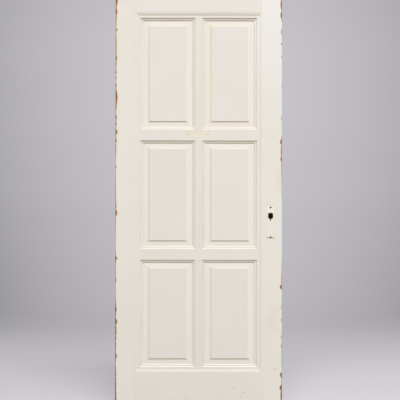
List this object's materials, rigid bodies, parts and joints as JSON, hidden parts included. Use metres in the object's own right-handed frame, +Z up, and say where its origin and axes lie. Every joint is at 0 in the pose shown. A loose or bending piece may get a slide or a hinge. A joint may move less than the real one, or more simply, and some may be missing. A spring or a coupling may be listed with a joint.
{
  "type": "panel door leaf",
  "caption": "Painted wooden door leaf with raised and fielded panels in a moulded frame, worn at its edges, with an empty lock mortise and hinge gains for hanging.",
  "frame": {"origin": "middle of the bottom edge, halfway through the thickness", "axes": "+Z up the leaf, +X towards the lock edge, +Y towards the back face; the shown face looks to -Y"},
  "size_m": [0.813, 0.0446, 2.032],
  "materials": {
    "painted_wood": "old brushed off-white oil paint on softwood, satin, worn to bare brown wood at the long edges",
    "wedge_wood": "bare softwood end grain"
  },
  "bodies": {
    "root": {"hinge_stile": "painted_wood", "lock_stile": "painted_wood", "top_rail": "painted_wood", "bottom_rail": "painted_wood", "upper_cross_rail": "painted_wood", "lower_cross_rail": "painted_wood", "top_muntin": "painted_wood", "middle_muntin": "painted_wood", "bottom_muntin": "painted_wood", "panel_top_left": "painted_wood", "panel_top_right": "painted_wood", "panel_middle_left": "painted_wood", "panel_middle_right": "painted_wood", "panel_bottom_left": "painted_wood", "panel_bottom_right": "painted_wood", "wedges_top_rail_left": "wedge_wood", "wedges_top_rail_right": "wedge_wood", "wedges_bottom_rail_left": "wedge_wood", "wedges_bottom_rail_right": "wedge_wood", "wedges_upper_cross_rail_left": "wedge_wood", "wedges_upper_cross_rail_right": "wedge_wood", "wedges_lower_cross_rail_left": "wedge_wood", "wedges_lower_cross_rail_right": "wedge_wood"}
  },
  "joints": []
}
